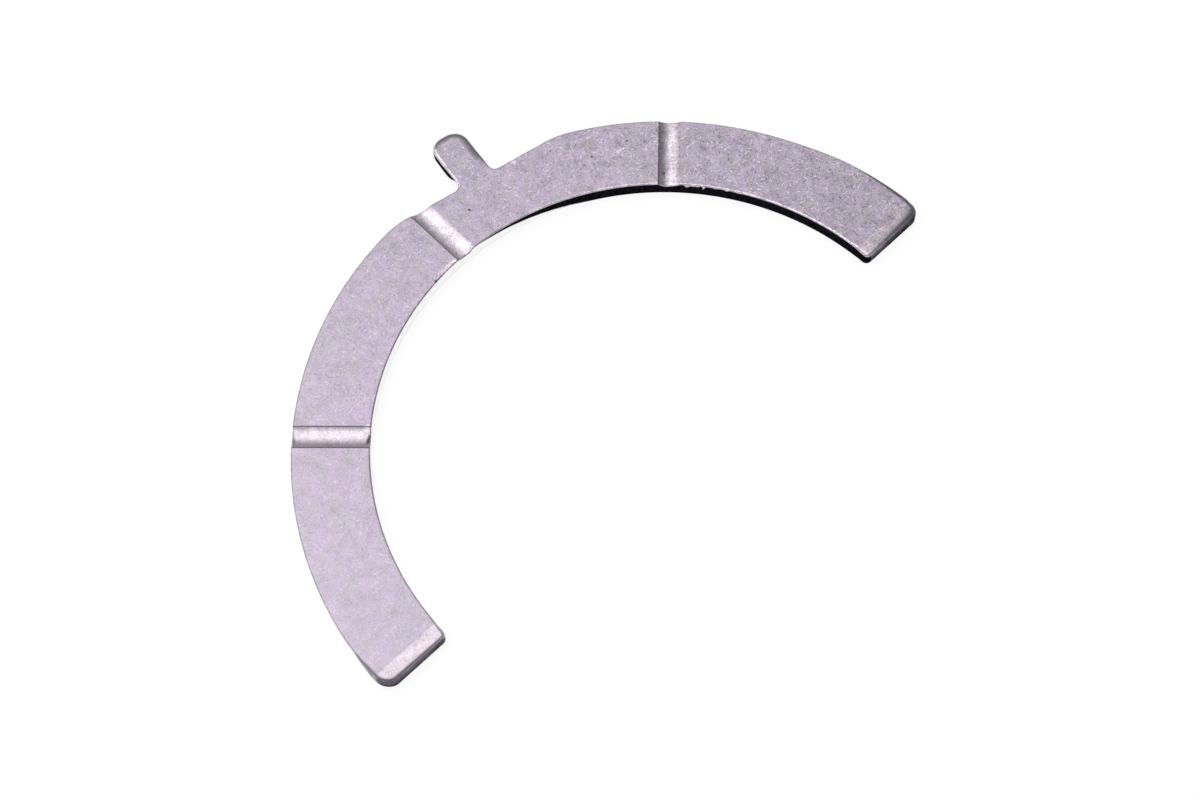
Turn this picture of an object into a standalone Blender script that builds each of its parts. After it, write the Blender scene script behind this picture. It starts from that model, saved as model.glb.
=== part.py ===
"""Half-ring thrust washer with a locating tab, oil grooves and relieved ends.

The washer lies on its flat back with the grooved bearing face up. Its two ends stand at the
parting line of the bearing housing and look towards -Y, and its middle groove runs along +Y.
The origin is the middle of the footprint, on the back face.
"""
import math

import bmesh
import bpy
from mathutils import Vector

# Half ring, in metres
BORE_RADIUS = 0.0394
FACE_WIDTH = 0.0106
THICKNESS = 0.00235
PARTING_CLEARANCE = 0.00005

# Rounded corners of the two ends, seen from above
RIGHT_OUTER_CORNER = 0.0012
RIGHT_INNER_CORNER = 0.0008
LEFT_OUTER_CORNER = 0.0022
LEFT_INNER_CORNER = 0.0008

# Flat on the outer rim, and the locating tab in the middle of it
TAB_ANGLE = math.radians(11.0)
FLAT_DEPTH = 0.0018
FLAT_BLEND_RADIUS = 0.012
TAB_LENGTH = 0.0090
TAB_WIDTH = 0.0053
TAB_TIP_RADIUS = 0.0023
TAB_ROOT_RADIUS = 0.0010

# Oil grooves across the bearing face
GROOVE_COUNT = 3
GROOVE_PITCH = math.radians(45.5)
GROOVE_WIDTH = 0.0031
GROOVE_DEPTH = 0.00048

# Reliefs that slope down to the two ends
RELIEF_LENGTH = 0.0023
RELIEF_DEPTH = 0.0003

# Rounding along the rims
FACE_EDGE_RADIUS = 0.00025
BACK_EDGE_RADIUS = 0.0001
END_EDGE_RADIUS = 0.0006
TAB_EDGE_RADIUS = 0.0008

# Fineness of the faceted surface
CHORD_ERROR = 0.000008
FACE_EDGE_STEPS = 4
BACK_EDGE_STEPS = 2
GROOVE_CUTTER_SIDES = 60
CUTTER_OVERRUN = 0.002
PROBE_INSET = 0.00003
WELD_DISTANCE = 0.000003
SHARP_ANGLE = math.radians(30.0)

# Bearing metal: base colour, metallic, roughness
BEARING_METAL = ((0.52, 0.46, 0.55, 1.0), 0.9, 0.45)

OUTER_RADIUS = BORE_RADIUS + FACE_WIDTH
FLAT_DISTANCE = OUTER_RADIUS - FLAT_DEPTH
TAB_TIP_DISTANCE = FLAT_DISTANCE + TAB_LENGTH
TAB_TIP_CORNER = min(TAB_TIP_RADIUS, TAB_WIDTH / 2)
TAB_OUTWARD = Vector((math.sin(TAB_ANGLE), math.cos(TAB_ANGLE)))
TAB_SIDEWAYS = Vector((-math.cos(TAB_ANGLE), math.sin(TAB_ANGLE)))


def on_tab(outward, sideways):
    """Point in the arc's plane, given along and across the tab from the arc's centre."""
    return outward * TAB_OUTWARD + sideways * TAB_SIDEWAYS


def direction_of(vector):
    """Angle of a flat vector from +X."""
    return math.atan2(vector.y, vector.x)


def arc(centre, radius, start, end):
    """Points along an arc, both ends included, as far apart as the chord error lets them be."""
    widest_step = 2 * math.acos(1 - CHORD_ERROR / radius)
    steps = max(2, math.ceil(abs(end - start) / widest_step))
    angles = [start + (end - start) * step / steps for step in range(steps + 1)]
    return [centre + radius * Vector((math.cos(angle), math.sin(angle))) for angle in angles]


def end_corner(side, rim_radius, corner_radius):
    """Centre of the arc that rounds an end's corner, where a rim meets the parting face.

    side is 1 at the right end and -1 at the left. rim_radius is the radius of the circle that
    the corner's centre lies on.
    """
    height = PARTING_CLEARANCE + corner_radius
    return Vector((side * math.sqrt(rim_radius ** 2 - height ** 2), height))


def washer_outline():
    """Outline around the arc's centre, anticlockwise from the right end's outer corner."""
    quarter = math.pi / 2
    right_outer = end_corner(1, OUTER_RADIUS - RIGHT_OUTER_CORNER, RIGHT_OUTER_CORNER)
    left_outer = end_corner(-1, OUTER_RADIUS - LEFT_OUTER_CORNER, LEFT_OUTER_CORNER)
    right_inner = end_corner(1, BORE_RADIUS + RIGHT_INNER_CORNER, RIGHT_INNER_CORNER)
    left_inner = end_corner(-1, BORE_RADIUS + LEFT_INNER_CORNER, LEFT_INNER_CORNER)

    tab_angle = direction_of(TAB_OUTWARD)
    blend_circle = OUTER_RADIUS - FLAT_BLEND_RADIUS
    blend_turn = math.acos((FLAT_DISTANCE - FLAT_BLEND_RADIUS) / blend_circle)
    blend_start = tab_angle - blend_turn
    blend_end = tab_angle + blend_turn
    blend_in = blend_circle * Vector((math.cos(blend_start), math.sin(blend_start)))
    blend_out = blend_circle * Vector((math.cos(blend_end), math.sin(blend_end)))

    root = FLAT_DISTANCE + TAB_ROOT_RADIUS
    root_side = TAB_WIDTH / 2 + TAB_ROOT_RADIUS
    tip = TAB_TIP_DISTANCE - TAB_TIP_CORNER
    tip_side = TAB_WIDTH / 2 - TAB_TIP_CORNER
    centre = Vector((0, 0))

    right_rim = arc(centre, OUTER_RADIUS, direction_of(right_outer), blend_start)
    left_rim = arc(centre, OUTER_RADIUS, blend_end, direction_of(left_outer))
    bore = arc(centre, BORE_RADIUS, direction_of(left_inner), direction_of(right_inner))
    stretches = [
        arc(right_outer, RIGHT_OUTER_CORNER, -quarter, direction_of(right_outer)),
        right_rim[1:],
        arc(blend_in, FLAT_BLEND_RADIUS, blend_start, tab_angle)[1:],
        arc(on_tab(root, -root_side), TAB_ROOT_RADIUS, tab_angle + math.pi, tab_angle + quarter),
        arc(on_tab(tip, -tip_side), TAB_TIP_CORNER, tab_angle - quarter, tab_angle),
        arc(on_tab(tip, tip_side), TAB_TIP_CORNER, tab_angle, tab_angle + quarter),
        arc(on_tab(root, root_side), TAB_ROOT_RADIUS, tab_angle - quarter, tab_angle - math.pi),
        arc(blend_out, FLAT_BLEND_RADIUS, tab_angle, blend_end),
        left_rim[1:],
        arc(left_outer, LEFT_OUTER_CORNER, direction_of(left_outer), 3 * quarter)[1:],
        arc(left_inner, LEFT_INNER_CORNER, -quarter, direction_of(-left_inner)),
        bore[1:],
        arc(right_inner, RIGHT_INNER_CORNER, direction_of(-right_inner), -quarter)[1:],
    ]
    return [point for stretch in stretches for point in stretch]


def smooth_rise(value, start, end):
    """0 before start, 1 after end, and a smooth rise between them."""
    share = min(max((value - start) / (end - start), 0), 1)
    return share * share * (3 - 2 * share)


def face_edge_radius(point):
    """Rounding of the bearing face's rim, which is wider at the two ends and round the tab."""
    outward = point.xy.dot(TAB_OUTWARD)
    on_the_tab = smooth_rise(outward, FLAT_DISTANCE, FLAT_DISTANCE + TAB_LENGTH / 2)
    at_an_end = 1 - smooth_rise(point.y, PARTING_CLEARANCE, PARTING_CLEARANCE + RELIEF_LENGTH)
    wider = (TAB_EDGE_RADIUS - FACE_EDGE_RADIUS) * on_the_tab
    wider += (END_EDGE_RADIUS - FACE_EDGE_RADIUS) * at_an_end
    return FACE_EDGE_RADIUS + wider


def back_edge_radius(_point):
    """Rounding of the back face's rim, the same all the way round."""
    return BACK_EDGE_RADIUS


def relief_drop(point):
    """How far the bearing face has sloped down towards the nearer end."""
    share = (point.y - PARTING_CLEARANCE) / RELIEF_LENGTH
    return RELIEF_DEPTH * max(1 - share, 0)


def round_rim(mesh, facing, edge_radius, steps):
    """Round the rim of the flat cap that looks up (1) or down (-1).

    Each step insets the cap, and moves the new rim to the next point of a quarter circle whose
    radius belongs to that place on the rim. Heights come last, so that each inset is flat.
    """
    faces = [face for face in mesh.faces if face.normal.z * facing > 0.5]
    faces = bmesh.ops.dissolve_faces(mesh, faces=faces)["region"]
    radius = mesh.verts.layers.float.new("radius")
    depth = mesh.verts.layers.float.new("depth")
    for vertex in faces[0].verts:
        vertex[radius] = edge_radius(vertex.co)
        vertex[depth] = vertex[radius]

    for step in range(1, steps + 1):
        before = math.pi / 2 * (step - 1) / steps
        after = math.pi / 2 * step / steps
        bmesh.ops.inset_region(
            mesh, faces=faces, thickness=PROBE_INSET, use_boundary=True, use_even_offset=True
        )
        rim = {vertex for face in faces for vertex in face.verts}
        for vertex in rim:
            neighbours = [edge.other_vert(vertex) for edge in vertex.link_edges]
            outside = next(other for other in neighbours if other not in rim)
            inward = (vertex.co.xy - outside.co.xy) / PROBE_INSET
            shift = outside[radius] * (math.cos(before) - math.cos(after))
            vertex[radius] = outside[radius]
            vertex[depth] = outside[radius] * (1 - math.sin(after))
            vertex.co.xy = outside.co.xy + inward * shift

    for vertex in mesh.verts:
        if vertex.co.z * facing > 0:
            vertex.co.z -= facing * vertex[depth]
    mesh.verts.layers.float.remove(mesh.verts.layers.float["depth"])
    mesh.verts.layers.float.remove(mesh.verts.layers.float["radius"])


def slope_ends(mesh):
    """Crease the bearing face where its reliefs start, and lower it from there to the ends."""
    faces = [face for face in mesh.faces if all(vertex.co.z > 0 for vertex in face.verts)]
    edges = {edge for face in faces for edge in face.edges}
    corners = {vertex for face in faces for vertex in face.verts}
    bmesh.ops.bisect_plane(
        mesh,
        geom=[*faces, *edges, *corners],
        plane_co=(0, PARTING_CLEARANCE + RELIEF_LENGTH, 0),
        plane_no=(0, 1, 0),
        dist=WELD_DISTANCE,
    )
    for vertex in mesh.verts:
        if vertex.co.z > 0:
            vertex.co.z -= relief_drop(vertex.co)


def blank_curve():
    """The washer's outline as a filled curve, extruded to its thickness."""
    curve = bpy.data.curves.new("washer_outline", "CURVE")
    curve.dimensions = "2D"
    curve.fill_mode = "BOTH"
    curve.extrude = THICKNESS / 2
    points = washer_outline()
    spline = curve.splines.new("POLY")
    spline.points.add(len(points) - 1)
    for place, point in zip(spline.points, points):
        place.co = (point.x, point.y, 0, 1)
    spline.use_cyclic_u = True
    return curve


def shape_blank(data):
    """Weld the blank, round both of its rims and relieve its ends."""
    mesh = bmesh.new()
    mesh.from_mesh(data)
    bmesh.ops.remove_doubles(mesh, verts=mesh.verts, dist=WELD_DISTANCE)
    bmesh.ops.recalc_face_normals(mesh, faces=mesh.faces)
    round_rim(mesh, -1, back_edge_radius, BACK_EDGE_STEPS)
    round_rim(mesh, 1, face_edge_radius, FACE_EDGE_STEPS)
    slope_ends(mesh)
    mesh.to_mesh(data)
    mesh.free()


def bearing_metal():
    """Grey bearing metal, matt from tumbling."""
    colour, metallic, roughness = BEARING_METAL
    material = bpy.data.materials.new("bearing_metal")
    material.use_nodes = True
    shader = material.node_tree.nodes["Principled BSDF"]
    shader.inputs["Base Color"].default_value = colour
    shader.inputs["Metallic"].default_value = metallic
    shader.inputs["Roughness"].default_value = roughness
    return material


def add_washer(collection, arc_centre):
    """The blank with its rounded rims and relieved ends, before its grooves are cut."""
    outline = bpy.data.objects.new("washer_outline", blank_curve())
    outline.parent = arc_centre
    outline.location.z = THICKNESS / 2
    collection.objects.link(outline)
    bpy.context.view_layer.update()

    evaluated = outline.evaluated_get(bpy.context.evaluated_depsgraph_get())
    data = bpy.data.meshes.new_from_object(evaluated)
    data.name = "thrust_washer"
    shape_blank(data)
    data.materials.clear()
    data.materials.append(bearing_metal())
    washer = bpy.data.objects.new("thrust_washer", data)
    collection.objects.link(washer)
    washer.parent = arc_centre
    washer.matrix_world = outline.matrix_world
    bpy.data.objects.remove(outline)
    return washer


def cut_grooves(washer, collection, arc_centre):
    """Cut each oil groove with a lying cylinder, which leaves a shallow round channel."""
    section_radius = (GROOVE_WIDTH ** 2 / 4 + GROOVE_DEPTH ** 2) / (2 * GROOVE_DEPTH)
    middle_radius = (BORE_RADIUS + OUTER_RADIUS) / 2
    for number in range(GROOVE_COUNT):
        angle = math.pi / 2 + GROOVE_PITCH * (number - (GROOVE_COUNT - 1) / 2)
        bpy.ops.mesh.primitive_cylinder_add(
            vertices=GROOVE_CUTTER_SIDES,
            radius=section_radius,
            depth=FACE_WIDTH + 2 * CUTTER_OVERRUN,
            location=(
                middle_radius * math.cos(angle),
                middle_radius * math.sin(angle),
                THICKNESS + section_radius - GROOVE_DEPTH,
            ),
            rotation=(0, math.pi / 2, angle),
        )
        cutter = bpy.context.object
        cutter.name = f"groove_cutter_{number + 1}"
        cutter.parent = arc_centre
        cutter.display_type = "WIRE"
        cutter.hide_render = True
        for holder in list(cutter.users_collection):
            holder.objects.unlink(cutter)
        collection.objects.link(cutter)

        groove = washer.modifiers.new(f"groove_{number + 1}", "BOOLEAN")
        groove.operation = "DIFFERENCE"
        groove.solver = "EXACT"
        groove.object = cutter


def footprint_middle():
    """Height of the footprint's middle above the arc's centre, along +Y."""
    corner_reach = (TAB_TIP_DISTANCE - TAB_TIP_CORNER) * math.cos(TAB_ANGLE)
    corner_reach += (TAB_WIDTH / 2 - TAB_TIP_CORNER) * math.sin(TAB_ANGLE)
    highest = max(OUTER_RADIUS, corner_reach + TAB_TIP_CORNER)
    return (highest + PARTING_CLEARANCE) / 2


def main():
    for item in list(bpy.data.objects):
        bpy.data.objects.remove(item)
    parts = bpy.data.collections.new("Thrust washer")
    cutters = bpy.data.collections.new("Cutters")
    bpy.context.scene.collection.children.link(parts)
    bpy.context.scene.collection.children.link(cutters)

    arc_centre = bpy.data.objects.new("arc_centre", None)
    arc_centre.location.y = -footprint_middle()
    parts.objects.link(arc_centre)

    washer = add_washer(parts, arc_centre)
    cut_grooves(washer, cutters, arc_centre)
    washer.data.shade_smooth()
    washer.data.set_sharp_from_angle(angle=SHARP_ANGLE)


main()
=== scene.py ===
"""Half-ring thrust washer: its coined bearing strip, the pale floor it lies on and the light over it."""
import math

import bmesh
import bpy
from bpy.props import FloatProperty, FloatVectorProperty, PointerProperty
from mathutils import Matrix, Vector, noise


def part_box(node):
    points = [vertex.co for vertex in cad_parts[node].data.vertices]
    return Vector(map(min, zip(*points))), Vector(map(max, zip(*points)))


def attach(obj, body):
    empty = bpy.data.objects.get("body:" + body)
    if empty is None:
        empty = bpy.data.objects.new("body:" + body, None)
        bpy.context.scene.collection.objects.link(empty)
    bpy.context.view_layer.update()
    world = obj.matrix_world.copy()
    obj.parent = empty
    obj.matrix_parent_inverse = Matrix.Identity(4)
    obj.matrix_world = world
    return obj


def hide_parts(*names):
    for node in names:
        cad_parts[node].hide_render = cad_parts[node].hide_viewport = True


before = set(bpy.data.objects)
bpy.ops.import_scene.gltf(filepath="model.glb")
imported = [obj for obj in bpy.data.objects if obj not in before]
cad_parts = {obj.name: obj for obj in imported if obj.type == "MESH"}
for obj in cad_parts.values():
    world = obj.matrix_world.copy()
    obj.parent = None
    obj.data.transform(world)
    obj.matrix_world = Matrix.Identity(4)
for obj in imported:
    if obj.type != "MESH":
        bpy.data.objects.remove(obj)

bl_info = {
    "name": "Thrust Washer",
    "version": (1, 0, 0),
    "blender": (4, 5, 0),
    "location": "View3D > Sidebar > Washer",
    "description": "Half-ring thrust washer with its finish, floor, light and camera",
    "category": "Object",
}

NODE = "thrust_washer"
LOWEST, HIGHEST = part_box(NODE)
WHITE = (1.0, 1.0, 1.0, 1.0)

# Mesh rings down the rim: rounding of the bearing face, wall, rounding of the back
FACE_EDGE_RINGS = 6
WALL_RINGS = 8
BACK_EDGE_RINGS = 2

# Mesh columns or rows round a corner
CORNER_STEPS = 8

# Share of a groove's width by which the mesh columns beside its edge stand away from it
GROOVE_LIP = 0.045

# Distances from a groove or an end, over a relief's length, between which the mesh columns turn
# from parallel to radial
PARALLEL = (1.1, 2.6)

# Length along a rim, over the growth in its rounding, in which the rounding grows towards an end
EDGE_GROWTH = 15.0

# Waves of the face to a metre, with the fall, step and number of their octaves, and lumps of its
# walls to a metre
WAVES = 180.0
WAVE_OCTAVES = (1.0, 2.0, 3)
LUMPS = 1700.0

# Turns, in degrees from the right end, between which the painted black shade of the bore's wall narrows
# from the whole wall to nothing, the outer wall goes from dim painted shade to a bright painted reflection,
# and the painted highlight on the bore's upper edge starts and ends
BLACK_NARROWS = (60.0, 89.0)
OUTER_BRIGHTENS = (120.0, 150.0)
ARRIS_STARTS = (1.0, 6.0)
ARRIS_ENDS = (70.0, 95.0)

# How bright the painted highlight on the bore's upper edge is at the right end, and how much brighter it
# gets
ARRIS_AT_END = 0.4
ARRIS_GAIN = 0.5

# Cosines of a wall's angle to a side between which it comes to face that side, for the wall's
# painted shade and painted reflection, and for the painted highlight on its upper edge
FACING = (0.2, 0.8)
FACING_CLOSELY = (0.5, 0.9)

# Shares of the wall's height: over which its painted black shade goes over to a bright painted reflection,
# which is painted black on the tab's left side, and which leaves no bright at all
BLACK_BLUR = 0.1
TAB_BLACK = 0.7
ALL_BLACK = 1.2

# Distances from the flat, over the tab's root radius, between which the tab's painted black shade grows,
# and from the parting line, over the crease's, between which the painted shade of the ends' walls stops,
# and the painted dark of the left limb's outer wall
TAB_BLACK_GROWS = (0.8, 3.5)
END_WALLS_STOP = (0.7, 1.0)
LEFT_DARK_STOPS = (0.7, 3.0)

# Painted paleness, from 0, black painted shade, to 1, bright painted reflection, of the tab's right wall
# and of the outer wall, what the outer wall lacks of it at the right end and at the left end, and how much
# less it lacks high up
TAB_PALE = 0.4
OUTER_PALE = 0.6
RIGHT_END_LACK = 0.5
LEFT_END_LACK = 0.45
HIGH_LACK = 0.35

# Powers that set how late a wall's painted colour starts down the rounding: on the bore and the tab, on
# the outer rim, and how much less than that at an outer corner
INNER_LATE = 3.0
OUTER_LATE = 1.6
CORNER_EARLY = 0.9

# Shares of the wall's height, from the face down, between which its torn part starts and ends
TEAR_STARTS = (0.4, 0.5)
TEAR_ENDS = (0.88, 0.95)

# Width of the band of painted shade along the tab's tip and right side, and along the roundings of the ends
# (m), and shares of the tab's band between which it fades
TAB_BAND = 0.0011
END_BAND = 0.0006
BAND_FADES = (0.6, 1.4)

# Painted shade on the tab's face, and on its rounding right beside the face
TAB_PAINTED_SHADE = 0.75
TAB_ROUNDING_PAINTED_SHADE = 0.4

# For the left end and the right one: painted shade on the rounding, painted shade on the face beside it,
# and polish of the relief, partly real and partly painted highlight
ROUNDING_PAINTED_SHADE = (0.35, 0.8)
END_PAINTED_SHADE = (0.15, 0.45)
RELIEF_POLISH_AND_HIGHLIGHT = (0.45, 0.5)

# Roundings, over that of the plain rim, between which they come to get painted shade
WIDE_EDGE = (1.1, 2.0)

# Shares of a groove's depth and of a relief's depth between which their polish, partly painted highlight,
# grows
GROOVE_POLISH_AND_HIGHLIGHT_GROWS = (0.0, 0.15)
RELIEF_POLISH_AND_HIGHLIGHT_GROWS = (0.0, 0.1)

# Turns in degrees, from the ends, within which the press has spread the right end's outer rim, in
# which that grows to its peak from its share at the corner, and within which it has drawn in the
# left end's rim
FLARE_TURNS = (2.0, 26.0)
FLARE_PEAK = (0.0, 4.0)
FLARE_AT_CORNER = 0.65
LOSS_TURNS = (0.0, 7.0)

# Shares of the face's width between which the left end's loss grows, and of the tab's length
# between which its bulge grows, and the length of the right end that is drawn out (m)
LOSS_WIDTH = (0.75, 1.0)
BULGE_GROWS = (0.1, 0.6)
STRETCH_REACH = 0.008

# Metal smeared over the bore's edge: turn and half width in degrees, and how much of it
BURRS = (
    (45.4, 1.2, 0.35),
    (40.8, 0.8, 0.75),
    (39.6, 1.2, 0.35),
    (38.6, 0.5, 0.4),
    (37.4, 0.4, 0.9),
    (34.9, 0.7, 0.25),
    (32.6, 0.5, 0.45),
    (30.1, 0.9, 0.25),
)

# How much a burr takes off the painted highlight of the edge, and how far it hides the wall's painted
# colour
BURR_DULLS = 0.5
BURR_HIDES = 0.8

# Painted shade in the grooves, one row for each from the right: how much lies in the corner on the side
# of the smaller turn and of the greater turn, and how much is spread over the flank of the
# greater turn and how far in it reaches (m)
GROOVE_PAINTED_SHADE = (
    (0.1, 1.0, 0.22, 0.0009),
    (0.1, 0.9, 0.15, 0.0013),
    (1.3, 1.1, 0.0, 0.0006),
)

# Shares of that reach between which the painted shade on the flank fades
FLANK_FADES = (0.3, 1.0)

# Polish of the same grooves, partly real and partly painted highlight, and how much of it is missing on the
# flank of the greater turn, as painted shade
GROOVE_POLISH_AND_HIGHLIGHT = ((0.7, 0.35), (0.62, 0.2), (0.45, 0.2))

# Distances from a groove's middle, over its width, between which that flank's painted shade sets in
SHADED_FLANK = (-0.05, 0.3)

# Painted glints on the face: turn (degrees) and radius (m) of each, and its half length along
# the rim and half width (m)
PAINTED_GLINTS = (
    (94.2, 0.03975, 0.0022, 0.0005),
    (133.6, 0.03990, 0.0006, 0.0006),
)

# Marks of handling, from the turn (degrees) and radius (m) of one end to those of the other,
# with their width (m) and how much they lighten the metal, or darken it
SCRATCHES = (
    (56.7, 0.04455, 54.4, 0.0452, 0.00018, 0.5),
    (54.8, 0.0451, 51.8, 0.0460, 0.00018, 0.8),
    (58.6, 0.0443, 57.4, 0.0444, 0.00015, 0.4),
    (60.9, 0.0442, 60.0, 0.0437, 0.00015, -0.55),
    (59.8, 0.0440, 58.9, 0.0448, 0.00012, 0.4),
    (36.8, 0.0456, 34.3, 0.0474, 0.00012, 0.4),
    (37.5, 0.0448, 34.7, 0.0483, 0.00013, -0.2),
    (35.7, 0.0401, 34.2, 0.0415, 0.00013, -0.2),
    (37.5, 0.0489, 35.8, 0.0398, 0.00012, 0.2),
    (37.7, 0.0424, 35.8, 0.0482, 0.00011, 0.2),
    (132.5, 0.0484, 131.9, 0.0404, 0.00012, 0.12),
    (130.1, 0.0480, 129.5, 0.0427, 0.00012, 0.10),
    # The next two rows are dark lines across the inner and the outer end of the left groove; the inner one
    # is painted shade.
    (134.4, 0.0396, 137.2, 0.0399, 0.0003, -0.7),
    (133.8, 0.0500, 137.3, 0.0497, 0.0003, -0.3),
)

# Dark pits: turn (degrees) and radius (m) of each, and its size (m)
PITS = (
    (58.7, 0.0451, 0.00028),
    (52.0, 0.0469, 0.00020),
    (65.4, 0.0477, 0.00018),
    (83.5, 0.0446, 0.00024),
    (45.6, 0.0414, 0.00030),
    (98.7, 0.0396, 0.00030),
)

# Nicks in the rim of the flat, given in the same way
NICKS = (
    (72.0, 0.0480, 0.00045),
    (74.1, 0.0485, 0.00035),
)

# How much pits darken the metal, nicks lighten it and painted glints brighten it
PIT_TONE = -0.7
NICK_TONE = 0.8
PAINTED_GLINT_TONE = 0.9

# Cells to a metre of the metal's patches, clouds, grain and flecks, and of the mottle in its walls' painted
# shade
PATCH_CELLS = 520.0
CLOUD_CELLS = 700.0
GRAIN_CELLS = 4200.0
FLECK_CELLS = 3000.0
WALL_SHADE_MOTTLE_CELLS = 2000.0

# Dark and light strokes: cells to a metre, half length and half width (m), and a shift (m) that
# keeps the two sets apart
DARK_STROKES = (1700.0, 0.0005, 0.00009, 0.31)
LIGHT_STROKES = (1250.0, 0.0005, 0.00007, 0.57)

# Wear of the face in its middle, and its growth to a metre towards the right end
WEAR = 0.72
WEAR_GROWTH = 5.5

# How far clouds, grain, strokes, flecks and the painted shade change the tone of the face, how strong the
# dark strokes are beside the light ones, and how strong the mottled painted shade is
CLOUD_TONE = 0.8
GRAIN_TONE = 2.5
STROKE_TONE = 0.65
FLECK_TONE = 0.5
PAINTED_SHADE_TONE = 0.85
DARK_STROKE_SHARE = 0.8
PAINTED_SHADE_STRENGTH = 0.9

# What polish, with its painted highlight, takes off the strokes and adds to the mottle, and what light
# strokes and flecks add to the polish
STROKES_LOST = 0.7
MOTTLE_GAIN = 0.6
STROKE_POLISH = 0.2
FLECK_POLISH = 0.5

# How uneven the walls' painted paleness, the mottle of their painted shade and their upper edge are
PALE_SWING = 0.5
WALL_SHADE_MOTTLE_SWING = 4.0
EDGE_SWING = 0.6

# How far grain and strokes stand up, and how grain, polish and the walls change the roughness
GRAIN_RELIEF = 0.9
STROKE_RELIEF = 0.4
GRAIN_ROUGHNESS = 0.12
POLISH_GLOSS = 0.08
WALL_GLOSS = 0.15
METALLIC = 0.92

# Width of the camera's sensor (mm), and where its view starts (m)
SENSOR_WIDTH = 36.0
VIEW_START = 0.01


def length(name, description, default):
    """A length that the user can change, in metres."""
    return FloatProperty(
        name=name, description=description, default=default, unit="LENGTH", precision=5, min=0.0
    )


def angle(name, description, degrees):
    """An angle that the user can change."""
    return FloatProperty(
        name=name, description=description, default=math.radians(degrees), subtype="ANGLE"
    )


def strength(name, description, default):
    """A strength of light that the user can change."""
    return FloatProperty(name=name, description=description, default=default, min=0.0)


def colour(name, description, default):
    """A colour that the user can change, in linear light."""
    return FloatVectorProperty(
        name=name, description=description, default=default, subtype="COLOR", size=3, min=0.0, max=1.0
    )


class WasherSizes(bpy.types.PropertyGroup):
    """Sizes of the half ring and of what is pressed into it."""

    bore_radius: length("Bore radius", "Radius of the inner rim", 0.0394)
    face_width: length("Face width", "Width of the bearing face, from rim to rim", 0.0106)
    thickness: length("Thickness", "Height of the bearing face over the back", HIGHEST.z - LOWEST.z)
    parting_clearance: length("Parting clearance", "Gap from the ends to the parting line", 0.00005)

    right_outer_corner: length("Right outer corner", "Corner radius of the right end, outside", 0.0016)
    right_inner_corner: length("Right inner corner", "Corner radius of the right end, at the bore", 0.0008)
    left_outer_corner: length("Left outer corner", "Corner radius of the left end, outside", 0.0022)
    left_inner_corner: length("Left inner corner", "Corner radius of the left end, at the bore", 0.0008)
    right_outer_edge: length("Right outer edge", "Rounding of the face at the right end, outside", 0.0010)
    right_inner_edge: length("Right inner edge", "Rounding of the face at the right end, inside", 0.00045)
    left_outer_edge: length("Left outer edge", "Rounding of the face at the left end, outside", 0.0006)
    left_inner_edge: length("Left inner edge", "Rounding of the face at the left end, inside", 0.00045)

    tab_angle: angle("Tab angle", "Turn of the locating tab from the crown", 11.0)
    flat_depth: length("Flat depth", "Depth of the flat that the tab stands on", 0.0018)
    flat_blend: length("Flat blend", "Radius that joins the flat to the outer rim", 0.012)
    tab_length: length("Tab length", "Length of the tab from the flat", 0.0090)
    tab_width: length("Tab width", "Width of the tab", 0.0053)
    tab_tip: length("Tab tip radius", "Radius of the two corners of the tab's tip", 0.0023)
    tab_root: length("Tab root radius", "Radius in the corners where the tab starts", 0.0010)

    groove_pitch: angle("Groove pitch", "Angle from one oil groove to the next", 45.5)
    groove_width: length("Groove width", "Width of each oil groove", 0.0031)
    groove_depth: length("Groove depth", "Depth of each oil groove", 0.00048)
    relief_length: length("Relief length", "Length of the slope at each end", 0.0023)
    relief_depth: length("Relief depth", "Drop of the slope at each end", 0.0003)

    face_edge: length("Face edge", "Rounding of the bearing face's rim", 0.00025)
    tab_left_edge: length("Tab left edge", "Rounding of the tab's left side", 0.00042)
    tab_right_edge: length("Tab right edge", "Rounding of the tab's right side", 0.0010)
    tab_tip_edge: length("Tab tip edge", "Rounding of the tab's tip", 0.0010)
    back_edge: length("Back edge", "Rounding of the back's rim", 0.0001)
    waviness: length("Waviness", "Unevenness left in the strip by the press", 0.000012)
    burr: length("Burr", "Reach of the metal smeared over the bore's edge", 0.00009)
    tear_depth: length("Tear depth", "Depth of the torn lower part of the walls", 0.00003)
    nick_depth: length("Nick depth", "Depth of the nicks in the face", 0.00006)
    right_flare: length("Right flare", "How far the outer rim is spread at the right end", 0.0007)
    right_stretch: length("Right stretch", "How far the right end is drawn past the parting line", 0.0002)
    left_loss: length("Left loss", "How far the outer rim falls short at the left end", 0.0003)
    tab_bulge: length("Tab bulge", "How far the tab's left side is spread near its tip", 0.0002)
    cell: length("Cell", "Size of the mesh cells on the faces", 0.00025)


class WasherFinish(bpy.types.PropertyGroup):
    """Colours and gloss of the bearing metal, with the painted highlight of its grooves and edges and the
    painted shade and painted reflection of its walls.
    """

    lilac: colour("Lilac", "Lilac grey of the tumbled face", (0.535, 0.450, 0.575))
    grey: colour("Grey", "Greener grey of the patches in the face", (0.492, 0.446, 0.503))
    # The next colour is partly the real polish of the grooves and reliefs and partly painted highlight; on
    # the bore's edge it is painted highlight only.
    polish_and_highlight_metal: colour("Burnished", "Bright metal of the grooves and of the bore's edge", (0.9, 0.8, 0.88))
    # The next three wall colours are painted light on one sheared metal: black painted shade, dim painted
    # shade and a bright painted reflection.
    painted_black_wall: colour("Stained wall", "Black of the stained sheared wall", (0.012, 0.012, 0.017))
    painted_dim_wall: colour("Dull wall", "Dark lilac grey of the ends' and the outer walls", (0.16, 0.14, 0.19))
    painted_lit_wall: colour("Bright wall", "Metal of the bright sheared wall", (0.89, 0.88, 0.89))
    roughness: FloatProperty(
        name="Roughness", description="Gloss of the face", default=0.40, min=0.0, max=1.0, subtype="FACTOR"
    )


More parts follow.
